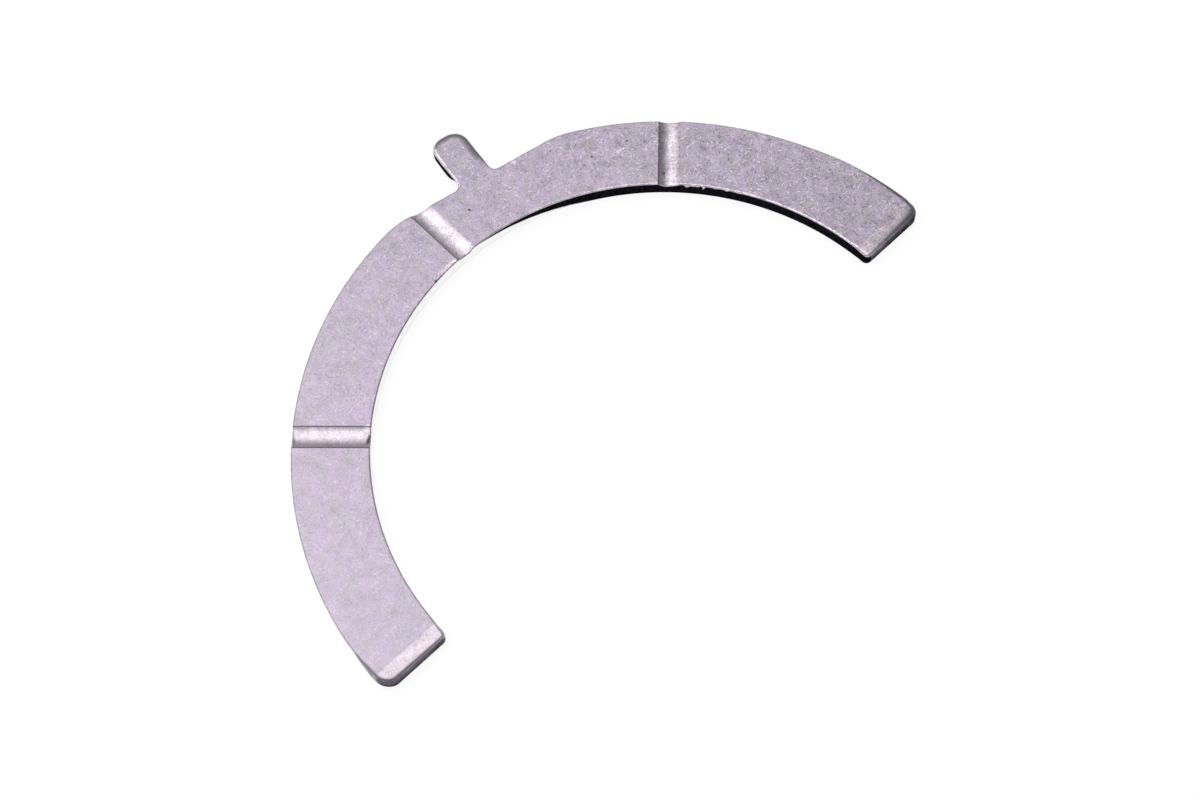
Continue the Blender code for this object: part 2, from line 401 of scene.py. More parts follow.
class StageSettings(bpy.types.PropertyGroup):
    """Floor, light and camera."""

    floor_colour: colour("Floor", "Pale floor, as the washer's metal is lit by it", (0.82, 0.82, 0.82))
    shadow_colour: colour("Shadow", "How much of the shadow on the floor shows", (0.2, 0.2, 0.2))
    floor_lift: strength("Floor lift", "White that the floor shows", 0.87)
    floor_size: length("Floor size", "Side of the floor", 4.0)
    sky: strength("Sky", "Strength of the even light all round", 0.19)
    lamp_distance: length("Lamp distance", "Distance of the soft boxes from the washer", 0.6)
    key_radiance: strength("Key light", "Brightness of the larger soft box, where 1 is white", 1.68)
    key_size: length("Key size", "Side of the larger soft box", 0.73)
    key_heading: angle("Key heading", "Direction of the larger soft box from the washer, from +X", 125.5)
    key_elevation: angle("Key elevation", "Height of the larger soft box over the floor", 70.6)
    fill_radiance: strength("Fill light", "Brightness of the smaller soft box, where 1 is white", 1.1)
    fill_size: length("Fill size", "Side of the smaller soft box", 0.26)
    fill_heading: angle("Fill heading", "Direction of the smaller soft box from the washer, from +X", 37.5)
    fill_elevation: angle("Fill elevation", "Height of the smaller soft box over the floor", 41.0)
    target: FloatVectorProperty(
        name="Target", description="Point that the camera looks at", default=(-0.00243, -0.018025, 0.00235),
        subtype="TRANSLATION", unit="LENGTH", size=3,
    )
    distance: length("Camera distance", "Distance of the camera from its target", 0.27703)
    heading: angle("Camera heading", "Direction that the camera looks in, from +X", 47.394)
    elevation: angle("Camera elevation", "Angle that the camera looks down at", 64.475)
    roll: angle("Camera roll", "Turn of the camera about its own line of sight", -1.601)
    lens: FloatProperty(
        name="Lens", description="Focal length for a sensor 36 mm wide", default=61.836, unit="CAMERA"
    )


def clamped(value):
    """A value kept between 0 and 1."""
    return min(max(value, 0.0), 1.0)


def smooth_rise(value, start, end):
    """0 before start, 1 after end, and a smooth rise between them."""
    share = clamped((value - start) / (end - start))
    return share * share * (3.0 - 2.0 * share)


def spaced(start, end, cell):
    """Even steps from start to end, no longer than a cell, without the start."""
    steps = max(1, math.ceil(abs(end - start) / cell - 1e-6))
    return [start + (end - start) * step / steps for step in range(1, steps + 1)]


def corner_turns():
    """Turns from 0 to a right angle, one for each step round a corner, without the first."""
    return [math.pi / 2 * step / CORNER_STEPS for step in range(1, CORNER_STEPS + 1)]


def polar(turn, radius=1.0):
    """Point at a turn and a radius from the centre of the washer's arc."""
    return radius * Vector((math.cos(turn), math.sin(turn)))


def turn_in_degrees(point):
    """Turn of a point from the right end."""
    return math.degrees(math.atan2(point.y, point.x))


def lumpy(mean, swing, place):
    """A value that swings about its mean from lump to lump of the metal."""
    return mean + swing * noise.noise(place * LUMPS)


def past_black(down, black):
    """Painted paleness of a wall whose upper part is painted black shade, at a share of its height from the
    face down.
    """
    return 0.5 + (down - black) / BLACK_BLUR


class WasherForm:
    """Outline and bearing face of the washer, in its plane, around the centre of its arc."""

    def __init__(self, sizes):
        self.sizes = sizes
        self.outer_radius = sizes.bore_radius + sizes.face_width
        self.middle_radius = sizes.bore_radius + sizes.face_width / 2
        self.arc_centre = Vector((0.0, LOWEST.y - sizes.parting_clearance))
        self.flat_distance = self.outer_radius - sizes.flat_depth
        self.blend_reach = self.outer_radius - sizes.flat_blend
        self.blend_turn = math.acos((self.flat_distance - sizes.flat_blend) / self.blend_reach)
        self.tab_angle = math.pi / 2 - sizes.tab_angle
        self.tab_outward = polar(self.tab_angle)
        self.tab_sideways = Vector((-self.tab_outward.y, self.tab_outward.x))
        self.root_half = sizes.tab_width / 2 + sizes.tab_root
        self.grooves = [math.pi / 2 + sizes.groove_pitch * turn for turn in (-1, 0, 1)]
        half = sizes.groove_width / 2
        self.groove_radius = (half ** 2 + sizes.groove_depth ** 2) / (2 * sizes.groove_depth)
        self.crease = sizes.parting_clearance + sizes.relief_length
        self.first_column = sizes.parting_clearance + sizes.face_edge
        # Corner radius of each end, and rounding of the face there, by (right end, outer rim)
        self.ends = {
            (True, True): (sizes.right_outer_corner, sizes.right_outer_edge),
            (True, False): (sizes.right_inner_corner, sizes.right_inner_edge),
            (False, True): (sizes.left_outer_corner, sizes.left_outer_edge),
            (False, False): (sizes.left_inner_corner, sizes.left_inner_edge),
        }

    def rim_edge(self, point, on_outer_rim):
        """Rounding of the face along a rim, which grows towards the end."""
        sizes = self.sizes
        corner, edge = self.ends[point.x > 0, on_outer_rim]
        start = sizes.parting_clearance + corner
        growth = edge - sizes.face_edge
        return edge - growth * smooth_rise(point.y, start, start + EDGE_GROWTH * abs(growth) + sizes.cell)

    def end_height(self, column, on_outer_rim):
        """Height at a rim of a column near an end. The first one stands where the end is rounded."""
        edge = self.ends[column.x > 0, on_outer_rim][1]
        share = max(0.0, (self.crease - column.y) / (self.crease - self.first_column))
        return column.y + (edge - self.sizes.face_edge) * share

    def tab_edge(self, outward, side):
        """Rounding of the face along the tab's left (side above 0) or right flank."""
        sizes = self.sizes
        flank = sizes.tab_left_edge if side > 0 else sizes.tab_right_edge
        share = smooth_rise(outward, 0.0, sizes.tab_length - sizes.tab_tip)
        return sizes.face_edge + (flank - sizes.face_edge) * share

    def tip_edge(self, outward, sideways, normal):
        """Rounding of the face round the tab's tip, which is what is left to the tip's wall."""
        sizes = self.sizes
        half = sizes.tab_width / 2 - sizes.tab_tip
        centre = Vector((max(-half, min(half, sideways)), sizes.tab_length - sizes.tab_tip))
        offset = Vector((sideways, outward)) - centre
        facing = Vector((normal.dot(self.tab_sideways), normal.dot(self.tab_outward)))
        along = facing.dot(offset)
        return math.sqrt(along ** 2 + sizes.tab_tip ** 2 - offset.length_squared) - along

    def outer_rim(self, turn, inset):
        """Radius of the outer rim and its flat in a direction, moved inwards by the inset."""
        turned = abs(turn - self.tab_angle)
        if turned >= self.blend_turn:
            return self.outer_radius - inset
        flat = self.flat_distance - inset
        if flat * math.tan(turned) <= self.blend_reach * math.sin(self.blend_turn):
            return flat / math.cos(turned)
        across = self.blend_reach * math.sin(self.blend_turn - turned)
        along = self.blend_reach * math.cos(self.blend_turn - turned)
        return along + math.sqrt((self.sizes.flat_blend - inset) ** 2 - across ** 2)

    def corner_limit(self, point, on_outer_rim, inset):
        """Move a rim point along its column to the rounded corner of an end."""
        sizes = self.sizes
        corner = self.ends[point.x > 0, on_outer_rim][0]
        outwards = 1 if on_outer_rim else -1
        rim = self.outer_radius if on_outer_rim else sizes.bore_radius
        centre_radius = rim - outwards * corner
        centre_y = sizes.parting_clearance + corner
        reach = corner - inset
        if point.y >= centre_y * (1 + outwards * reach / centre_radius):
            return point
        centre_x = math.sqrt(centre_radius ** 2 - centre_y ** 2)
        x = centre_x + outwards * math.sqrt(max(reach ** 2 - (centre_y - point.y) ** 2, 0.0))
        return Vector((math.copysign(x, point.x), point.y))

    def rim_point(self, turn, on_outer_rim):
        """Where a column ends on a rim of the face. Columns run parallel to a near groove or end."""
        sizes = self.sizes
        guide = min((0.0, *self.grooves, math.pi), key=lambda place: abs(turn - place))
        away = turn - guide
        offset = self.middle_radius * math.sin(away)
        column = polar(turn, self.middle_radius)
        if guide in (0.0, math.pi):
            offset = math.copysign(self.end_height(column, on_outer_rim), away)
        inset = self.rim_edge(column, on_outer_rim)
        radius = self.outer_rim(turn, inset) if on_outer_rim else sizes.bore_radius + inset
        parallel = 1 - smooth_rise(abs(offset) / sizes.relief_length, *PARALLEL)
        rim_turn = guide + away + (math.asin(offset / radius) - away) * parallel
        if on_outer_rim:
            radius = self.outer_rim(rim_turn, inset)
        return self.corner_limit(polar(rim_turn, radius), on_outer_rim, inset)

    def body_point(self, turn, share):
        """Point of the face on a column, at a share of the way from the bore."""
        return self.rim_point(turn, False).lerp(self.rim_point(turn, True), share)

    def tab_half(self, outward, side):
        """Distance of the tab's side from its middle line, less the rounding of the face there."""
        sizes = self.sizes
        edge = self.tab_edge(outward, side)
        if outward < sizes.tab_root:
            fillet = (sizes.tab_root + edge) ** 2 - (sizes.tab_root - outward) ** 2
            return self.root_half - math.sqrt(max(fillet, 0.0))
        past_tip_start = max(outward - (sizes.tab_length - sizes.tab_tip), 0.0)
        share = past_tip_start / (sizes.tab_tip - sizes.tab_tip_edge)
        bend = (sizes.tab_tip - edge) * math.sqrt(max(1.0 - share ** 2, 0.0))
        return sizes.tab_width / 2 - sizes.tab_tip + bend

    def tab_point(self, turn, outward):
        """Point of the face on the tab, on the column that comes from the body below."""
        flat = self.flat_distance - self.sizes.face_edge
        side = flat * math.tan(turn - self.tab_angle) / self.root_half
        left = self.tab_half(outward, 1)
        right = self.tab_half(outward, -1)
        sideways = (left - right) / 2 + side * (left + right) / 2
        return (self.flat_distance + outward) * self.tab_outward + sideways * self.tab_sideways

    def column_turns(self):
        """Directions of the mesh columns, from the right end to the left one."""
        sizes = self.sizes
        first = self.first_column
        stops = []
        for at_right in (True, False):
            corner, edge = self.ends[at_right, True]
            stretch = (self.crease - first) / (self.crease - sizes.parting_clearance - edge)
            reach = (corner - edge) * stretch
            heights = [first + reach * (1.0 - math.cos(bend)) for bend in corner_turns()]
            for height in (first, *heights, self.crease):
                turn = math.asin(height / self.middle_radius)
                stops.append(turn if at_right else math.pi - turn)

        lip = sizes.groove_width * GROOVE_LIP
        half = sizes.groove_width / 2
        for groove in self.grooves:
            for offset in (half - lip, half, half + lip):
                stops.append(groove + math.asin(offset / self.middle_radius))
                stops.append(groove - math.asin(offset / self.middle_radius))
        flat = self.flat_distance - sizes.face_edge
        for offset in (self.root_half, sizes.tab_width / 2):
            stops.append(self.tab_angle + math.atan(offset / flat))
            stops.append(self.tab_angle - math.atan(offset / flat))

        stops.sort()
        turns = stops[:1]
        for before, after in zip(stops, stops[1:]):
            turns += spaced(before, after, sizes.cell / self.middle_radius)
        return turns

    def tab_rows(self):
        """Distances of the tab's mesh rows from the flat, after the one on the flat itself."""
        sizes = self.sizes
        start = -sizes.face_edge
        tip_start = sizes.tab_length - sizes.tab_tip
        tip_reach = sizes.tab_tip - sizes.tab_tip_edge
        fillet = [start + (sizes.tab_root - start) * (1.0 - math.cos(bend)) for bend in corner_turns()]
        straight = spaced(sizes.tab_root, tip_start, sizes.cell)
        tip = [tip_start + tip_reach * math.sin(bend) for bend in corner_turns()]
        return fillet + straight + tip

    def nearest_groove(self, point):
        """Number of the groove nearest to a point."""
        turn = math.atan2(point.y, point.x)
        return min(range(len(self.grooves)), key=lambda number: abs(self.grooves[number] - turn))

    def groove_side(self, point):
        """Distance from the middle of the nearest groove, above 0 on the side of the greater turn."""
        return polar(self.grooves[self.nearest_groove(point)]).cross(point)

    def groove_drop(self, point):
        """Depth of the oil grooves at a point of the face."""
        side = self.groove_side(point)
        if abs(side) >= self.sizes.groove_width / 2:
            return 0.0
        floor = self.groove_radius - self.sizes.groove_depth
        return math.sqrt(self.groove_radius ** 2 - side ** 2) - floor

    def groove_painted_shade(self, point):
        """Painted shade in the corners along the grooves' sides and spread over a flank, from 0 to about 1.
        """
        near, far, spread, reach = GROOVE_PAINTED_SHADE[self.nearest_groove(point)]
        half = self.sizes.groove_width / 2
        lip = self.sizes.groove_width * GROOVE_LIP
        side = self.groove_side(point)
        corners = max(near * (1 - abs(side + half) / lip), far * (1 - abs(side - half) / lip), 0.0)
        flank = spread * (1 - smooth_rise((half - side) / reach, *FLANK_FADES)) if side < half else 0.0
        return max(corners, flank)

    def tab_painted_shade(self, point, outward):
        """Painted shade on the face of the tab, along its tip and its right side."""
        sizes = self.sizes
        if outward <= 0:
            return 0.0
        sideways = point.dot(self.tab_sideways)
        past_side = abs(sideways) - (sizes.tab_width / 2 - sizes.tab_tip)
        past_tip = outward - (sizes.tab_length - sizes.tab_tip)
        corner = math.hypot(max(past_side, 0.0), max(past_tip, 0.0))
        inwards = sizes.tab_tip - corner - min(max(past_side, past_tip), 0.0)
        left = smooth_rise(sideways, 0.0, sizes.tab_width / 3)
        left *= 1 - smooth_rise(past_tip, 0.0, sizes.tab_tip)
        root = smooth_rise(outward, 0.0, sizes.tab_length / 2)
        return TAB_PAINTED_SHADE * (1 - left) * root * (1 - smooth_rise(inwards / TAB_BAND, *BAND_FADES))

    def rounding_painted_shade(self, point, edge, normal, outward, shoulder):
        """Painted shade on the wide roundings of the ends and of the tab's tip and right side."""
        wide = smooth_rise(edge / self.sizes.face_edge, *WIDE_EDGE)
        if outward > 0:
            left = smooth_rise(normal.dot(self.tab_sideways), *FACING)
            much = TAB_ROUNDING_PAINTED_SHADE + (1 - TAB_ROUNDING_PAINTED_SHADE) * min(shoulder, 1.0)
            return wide * (1 - left) * much
        return wide * ROUNDING_PAINTED_SHADE[point.x > 0] * self.face_share(point)

    def end_painted_shade(self, point):
        """Painted shade on the face along the rounding of an end."""
        inwards = point.y - self.sizes.parting_clearance - self.body_edge(point)
        much = END_PAINTED_SHADE[point.x > 0] * self.face_share(point)
        return much * (1 - smooth_rise(inwards, 0.0, END_BAND))

    def burnish(self, point):
        """How far the press has polished the face, from 0 to 1, partly real polish and partly painted
        highlight. A groove's flank is left with less, as painted shade.
        """
        sizes = self.sizes
        groove = smooth_rise(self.groove_drop(point) / sizes.groove_depth, *GROOVE_POLISH_AND_HIGHLIGHT_GROWS)
        relief = smooth_rise(self.relief_drop(point) / sizes.relief_depth, *RELIEF_POLISH_AND_HIGHLIGHT_GROWS)
        polish_and_highlight, missing = GROOVE_POLISH_AND_HIGHLIGHT[self.nearest_groove(point)]
        dull = missing * smooth_rise(self.groove_side(point) / sizes.groove_width, *SHADED_FLANK)
        return max(groove * (polish_and_highlight - dull), relief * RELIEF_POLISH_AND_HIGHLIGHT[point.x > 0])

    def painted_arris_highlight(self, point, normal, outward):
        """Painted highlight along the bore's upper edge and the tab's left one."""
        if outward > 0:
            return smooth_rise(normal.dot(self.tab_sideways), *FACING_CLOSELY)
        if normal.dot(point) > 0:
            return 0.0
        turn = turn_in_degrees(point)
        bright = ARRIS_AT_END + ARRIS_GAIN * smooth_rise(turn, *ARRIS_STARTS)
        return bright * (1 - smooth_rise(turn, *ARRIS_ENDS))

    def face_share(self, point):
        """Share of the way from the bore to the outer rim at which a point lies."""
        return clamped((point.length - self.sizes.bore_radius) / self.sizes.face_width)

    def spread(self, point, outward):
        """How far the press has drawn a point near an end or on the tab out of its true place."""
        sizes = self.sizes
        if outward > 0:
            left = smooth_rise(point.dot(self.tab_sideways), -sizes.tab_width / 2, sizes.tab_width / 2)
            bulge = sizes.tab_bulge * smooth_rise(outward / sizes.tab_length, *BULGE_GROWS)
            return bulge * left * self.tab_sideways
        turn = turn_in_degrees(point)
        share = self.face_share(point)
        if point.x > 0:
            out = sizes.right_flare * share * (1 - smooth_rise(turn, *FLARE_TURNS))
            out *= FLARE_AT_CORNER + (1 - FLARE_AT_CORNER) * smooth_rise(turn, *FLARE_PEAK)
            stretch = sizes.right_stretch * (1 - smooth_rise(point.y, 0.0, STRETCH_REACH))
            return out * point.normalized() - Vector((0.0, stretch))
        loss = sizes.left_loss * smooth_rise(share, *LOSS_WIDTH)
        loss *= 1 - smooth_rise(180.0 - turn, *LOSS_TURNS)
        return -loss * point.normalized()

    def relief_drop(self, point):
        """Depth of the slopes at the two ends."""
        share = (point.y - self.sizes.parting_clearance) / self.sizes.relief_length
        return self.sizes.relief_depth * max(1.0 - share, 0.0)

    def nick_drop(self, point):
        """Depth of the nicks that knocks have left in the face."""
        drop = 0.0
        for turn, radius, size in NICKS:
            middle = polar(math.radians(turn), radius)
            drop += self.sizes.nick_depth * max(1.0 - (point - middle).length_squared / size ** 2, 0.0)
        return drop

    def face_height(self, point):
        """Height of the bearing face over the back."""
        wave = noise.fractal(point.to_3d() * WAVES, *WAVE_OCTAVES)
        unevenness = self.sizes.waviness * (1.0 + max(min(wave, 1.0), -1.0)) / 2
        pressed = self.groove_drop(point) + self.relief_drop(point) + self.nick_drop(point)
        return self.sizes.thickness - pressed - unevenness

    def edge_at(self, point, normal, outward):
        """Rounding of the face at a point of its rim."""
        sizes = self.sizes
        sideways = point.dot(self.tab_sideways)
        if outward > sizes.tab_length - sizes.tab_tip:
            return self.tip_edge(outward, sideways, normal)
        return self.tab_edge(outward, sideways) if outward else self.body_edge(point)

    def body_edge(self, point):
        """Rounding of the face beside a point of the half ring, from the bore's to the outer rim's."""
        inner_corner = self.ends[point.x > 0, False][0]
        outer_corner = self.ends[point.x > 0, True][0]
        straight = self.sizes.face_width - inner_corner - outer_corner
        share = clamped((point.length - self.sizes.bore_radius - inner_corner) / straight)
        inner_edge = self.rim_edge(point, False)
        return inner_edge + (self.rim_edge(point, True) - inner_edge) * share

    def wall_start_and_painted_light(self, point, normal, outward, down):
        """How late the wall's painted colour starts down the rounding, and how pale the wall is painted
        there: black painted shade, dim painted shade or a bright painted reflection.

        The painted paleness runs on past 0 and 1, so that its boundary stays even between the rings.
        """
        if outward > 0:
            left = smooth_rise(normal.dot(self.tab_sideways), *FACING)
            black = TAB_BLACK * smooth_rise(outward / self.sizes.tab_root, *TAB_BLACK_GROWS)
            return INNER_LATE, TAB_PALE * (1 - left) + left * past_black(down, black)
        turn = turn_in_degrees(point)
        black_ends, bright_starts = BLACK_NARROWS
        black = max(0.0, min(ALL_BLACK, (bright_starts - turn) / (bright_starts - black_ends)))
        end = 1 - smooth_rise(point.y / self.crease, *END_WALLS_STOP)
        bore = smooth_rise(-normal.dot(point.normalized()), *FACING)
        share = self.face_share(point)
        if point.x > 0:
            lack = (RIGHT_END_LACK - HIGH_LACK * (1 - share) * (1 - down)) * end
            outer_pale = OUTER_PALE - lack
        else:
            bore *= 1 - end
            dark = ALL_BLACK * (1 - smooth_rise(point.y / self.crease, *LEFT_DARK_STOPS))
            below = clamped((down - dark) / BLACK_BLUR) * smooth_rise(turn, *OUTER_BRIGHTENS)
            lack = (LEFT_END_LACK - HIGH_LACK * (1 - down)) * end
            outer_pale = (OUTER_PALE - lack) * (1 - below) + below
        late = OUTER_LATE - CORNER_EARLY * end * share if bore < 0.5 else INNER_LATE
        return late, bore * past_black(down, black) + (1 - bore) * outer_pale

    def smear(self, point, normal):
        """Metal that is smeared over the bore's edge, from 0 to 1."""
        if normal.dot(point) > 0 or point.y < self.crease:
            return 0.0
        turn = turn_in_degrees(point)
        near = sum(much * max(0.0, 1 - abs(turn - middle) / half) for middle, half, much in BURRS)
        return min(1.0, near * lumpy(0.8, 0.5, point.to_3d()))

    def tear(self, point, height):
        """How deep the wall is torn under its sheared upper part."""
        down = 1.0 - height / self.sizes.thickness
        torn = smooth_rise(down, *TEAR_STARTS) * (1 - smooth_rise(down, *TEAR_ENDS))
        return self.sizes.tear_depth * torn * lumpy(0.6, 0.4, Vector((point.x, point.y, height)))


def face_sheet(form):
    """The flat sheet of the face: a radial row spun into the half ring, with the tab drawn out of it."""
    sizes = form.sizes
    mesh = bmesh.new()
    rows = spaced(0.0, 1.0, sizes.cell / sizes.face_width)
    turns = form.column_turns()
    direction = polar(turns[0]).to_3d()
    foot = bmesh.ops.create_vert(mesh, co=direction * sizes.bore_radius)["vert"]
    for share in rows:
        foot = bmesh.ops.extrude_vert_indiv(mesh, verts=foot)["verts"]
        foot[0].co = direction * (sizes.bore_radius + sizes.face_width * share)

    section = mesh.verts[:] + mesh.edges[:]
    for before, after in zip(turns, turns[1:]):
        section = bmesh.ops.spin(
            mesh, geom=section, cent=(0, 0, 0), axis=(0, 0, 1), angle=after - before, steps=1
        )["geom_last"]

    turn = mesh.verts.layers.float.new("turn")
    outward = mesh.verts.layers.float.new("outward")
    for vertex in mesh.verts:
        vertex[turn] = math.atan2(vertex.co.y, vertex.co.x)
    reach = math.atan(form.root_half / (form.flat_distance - sizes.face_edge))
    slack = sizes.cell / form.middle_radius / 10
    root = [
        edge
        for edge in mesh.edges
        if all(
            vertex.co.length > form.outer_radius - sizes.cell / 2
            and abs(vertex[turn] - form.tab_angle) < reach + slack
            for vertex in edge.verts
        )
    ]
    for vertex in mesh.verts:
        share = (vertex.co.length - sizes.bore_radius) / sizes.face_width
        vertex.co.xy = form.body_point(vertex[turn], share)

    for distance in form.tab_rows():
        grown = bmesh.ops.extrude_edge_only(mesh, edges=root)["geom"]
        root = [item for item in grown if isinstance(item, bmesh.types.BMEdge) and item.is_boundary]
        tops = [item for item in grown if isinstance(item, bmesh.types.BMVert)]
        for vertex in tops:
            vertex[outward] = distance
            vertex.co.xy = form.tab_point(vertex[turn], distance)
        row = set(tops)
        root = [edge for edge in root if all(vertex in row for vertex in edge.verts)]
    return mesh


def ring_place(ring, edge, top, sizes):
    """Outward and upward place of one of the rim's rings, counted from the face down to the back."""
    if ring <= FACE_EDGE_RINGS:
        bend = math.pi / 2 * ring / FACE_EDGE_RINGS
        return edge * math.sin(bend), top - edge * (1 - math.cos(bend))
    if ring <= FACE_EDGE_RINGS + WALL_RINGS:
        down = (ring - FACE_EDGE_RINGS) / WALL_RINGS
        return edge, (top - edge) * (1 - down) + sizes.back_edge * down
    bend = math.pi / 2 * (ring - FACE_EDGE_RINGS - WALL_RINGS) / BACK_EDGE_RINGS
    return edge - sizes.back_edge * (1 - math.cos(bend)), sizes.back_edge * (1 - math.sin(bend))


def thicken(mesh, form):
    """Draw the sheet up into a solid, press the face into its shape and round the rim."""
    sizes = form.sizes
    outward = mesh.verts.layers.float["outward"]
    wall = mesh.verts.layers.float.new("wall")
    # The next three layers hold the walls' painted paleness, the polish with its painted highlight, and
    # painted shade on the face and roundings.
    pale = mesh.verts.layers.float.new("pale")
    burnish = mesh.verts.layers.float.new("burnish")
    dirt = mesh.verts.layers.float.new("dirt")
    drawn = bmesh.ops.extrude_face_region(mesh, geom=mesh.faces[:])["geom"]
    face = [item for item in drawn if isinstance(item, bmesh.types.BMVert)]
    bmesh.ops.translate(mesh, verts=face, vec=(0, 0, sizes.thickness))
    bmesh.ops.recalc_face_normals(mesh, faces=mesh.faces)

    half = sizes.thickness / 2
    upright = [edge for edge in mesh.edges if (edge.verts[0].co.z > half) != (edge.verts[1].co.z > half)]
    cuts = FACE_EDGE_RINGS + WALL_RINGS + BACK_EDGE_RINGS
    bmesh.ops.subdivide_edges(mesh, edges=upright, cuts=cuts, use_grid_fill=True)
    mesh.normal_update()

    for vertex in mesh.verts:
        ring = round((1.0 - vertex.co.z / sizes.thickness) * (cuts + 1))
        point = vertex.co.xy.copy()
        on_tab = vertex[outward]
        top = form.face_height(point)
        if ring <= cuts:
            # Polish of the grooves and reliefs, partly painted highlight, with painted shade on one groove
            # flank.
            vertex[burnish] = form.burnish(point)
        if ring == 0:
            vertex.co.z = top
            # Painted shade along the grooves, along the tab's tip and right side, and along the ends.
            vertex[dirt] = max(form.groove_painted_shade(point), form.tab_painted_shade(point, on_tab), form.end_painted_shade(point))
        elif ring <= cuts:
            normal = vertex.normal.xy.normalized()
            edge = form.edge_at(point, normal, on_tab)
            shoulder = ring / FACE_EDGE_RINGS
            smear = form.smear(point, normal)
            out, vertex.co.z = ring_place(ring, edge, top, sizes)
            down = 1 - vertex.co.z / sizes.thickness
            # The wall's painted paleness: black painted shade, dim painted shade or a bright painted
            # reflection.
            late, vertex[pale] = form.wall_start_and_painted_light(point, normal, on_tab, down)
            # Painted shade on the wide roundings and in the grooves.
            rounding = form.rounding_painted_shade(point, edge, normal, on_tab, shoulder)
            vertex[dirt] = max(form.groove_painted_shade(point), rounding)
            # Painted highlight along the bore's and the tab's upper edge.
            vertex[burnish] = max(vertex[burnish], form.painted_arris_highlight(point, normal, on_tab))
            vertex[burnish] *= 1 - BURR_DULLS * smear
            vertex[wall] = clamped(shoulder - BURR_HIDES * smear) ** late
            out += sizes.burr * smear * max(0.0, 1 - abs(shoulder - 1))
            out -= form.tear(point, vertex.co.z)
            vertex.co.xy = point + out * normal
        vertex.co.xy += form.spread(point, on_tab) + form.arc_centre
        vertex.co.z += LOWEST.z


class Socket:
    """A socket of a shader node that can be written into sums."""

    def __init__(self, finish, socket):
        self.finish = finish
        self.socket = socket

    def __add__(self, other):
        return self.finish.maths("ADD", self, other)

    __radd__ = __add__

    def __sub__(self, other):
        return self.finish.maths("SUBTRACT", self, other)

    def __rsub__(self, other):
        return self.finish.maths("SUBTRACT", other, self)

    def __mul__(self, other):
        return self.finish.maths("MULTIPLY", self, other)

    __rmul__ = __mul__


class Finish:
    """A material or a world whose nodes are all added by one method."""

    def __init__(self, owner):
        owner.use_nodes = True
        self.tree = owner.node_tree
        self.tree.nodes.clear()

    def node(self, kind, settings=None, inputs=None, output=0):
        """Add a node, set it, feed its inputs with values or sockets, and give one of its outputs."""
        made = self.tree.nodes.new(kind)
        for name, value in (settings or {}).items():
            if name == "stops":
                self.set_stops(made.color_ramp, value)
            else:
                setattr(made, name, value)
        for place, value in (inputs or {}).items():
            if isinstance(value, Socket):
                self.tree.links.new(value.socket, made.inputs[place])
            else:
                made.inputs[place].default_value = value
        return Socket(self, made.outputs[output]) if made.outputs else None

    @staticmethod
    def set_stops(ramp, stops):
        """Give a ramp its two stops, each a place and a grey value."""
        for element, (place, grey) in zip(ramp.elements, stops):
            element.position = place
            element.color = (grey, grey, grey, 1.0)

    def maths(self, operation, first, second, clamp=False):
        """A value worked out from two others, kept between 0 and 1 where that is asked for."""
        settings = {"operation": operation, "use_clamp": clamp}
        return self.node("ShaderNodeMath", settings, {0: first, 1: second})

    def mixed(self, factor, first, second):
        """A colour between two others."""
        return self.node(
            "ShaderNodeMix", {"data_type": "RGBA"}, {"Factor": factor, 6: first, 7: second}, output=2
        )

    def noise(self, vector, scale, detail=3.0, roughness=0.55):
        """Smooth noise from 0 to 1, with so many cells to a metre."""
        inputs = {"Vector": vector, "Scale": scale, "Detail": detail, "Roughness": roughness}
        return self.node("ShaderNodeTexNoise", None, inputs)

    def ramp(self, value, start, end, first=0.0, last=1.0):
        """The first grey up to a start, the last one from an end on, and an even change between them."""
        return self.node("ShaderNodeValToRGB", {"stops": ((start, first), (end, last))}, {"Fac": value})

    def attribute(self, name):
        """A value that the mesh holds for each point."""
        return self.node("ShaderNodeAttribute", {"attribute_name": name}, output="Fac")

    def shaded(self, tint, value):
        """A colour made darker or lighter by a value."""
        return self.node("ShaderNodeVectorMath", {"operation": "SCALE"}, {0: tint, "Scale": value})

    def vector(self, operation, first, second=None):
        """A vector worked out from two others, or the length of one."""
        inputs = {0: first}
        output = "Value"
        if second is not None:
            inputs[1] = second
            output = "Vector"
        return self.node("ShaderNodeVectorMath", {"operation": operation}, inputs, output)

    def mark(self, place, middle, heading, half_length, half_width):
        """A soft long spot, 1 round its middle and 0 from its edge outwards, at any height."""
        any_height = 1.0
        framed = self.node(
            "ShaderNodeMapping",
            {"vector_type": "TEXTURE"},
            {0: place, 1: middle, 2: (0.0, 0.0, heading), 3: (half_length, half_width, any_height)},
        )
        spot = self.node("ShaderNodeTexGradient", {"gradient_type": "SPHERICAL"}, {0: framed}, output=1)
        return self.maths("MULTIPLY", spot, 2.0, clamp=True)

    def strokes(self, place, cells, half_length, half_width, shift):
        """Short strokes in all directions, with so many cells to a metre and one stroke to a cell."""
        shifted = self.vector("ADD", place, (shift, shift, 0.0))
        inputs = {"Vector": shifted, "Scale": cells, "Randomness": 1.0}
        settings = {"voronoi_dimensions": "2D"}
        middle = self.node("ShaderNodeTexVoronoi", settings, inputs, output="Position")
        chance = self.node("ShaderNodeTexVoronoi", settings, inputs, output="Color")
        heading = self.node("ShaderNodeSeparateColor", None, {0: chance})
        strength = self.node("ShaderNodeSeparateColor", None, {0: chance}, output="Green")
        offset = self.vector("SUBTRACT", shifted, middle)
        turned = self.node(
            "ShaderNodeVectorRotate",
            {"rotation_type": "Z_AXIS"},
            {"Vector": offset, "Angle": heading * math.tau},
        )
        stretched = self.vector("MULTIPLY", turned, (1 / half_length, 1 / half_width, 0.0))
        depth = self.maths("MAXIMUM", 1 - self.vector("LENGTH", stretched), 0.0)
        return depth * strength * strength * 2.0


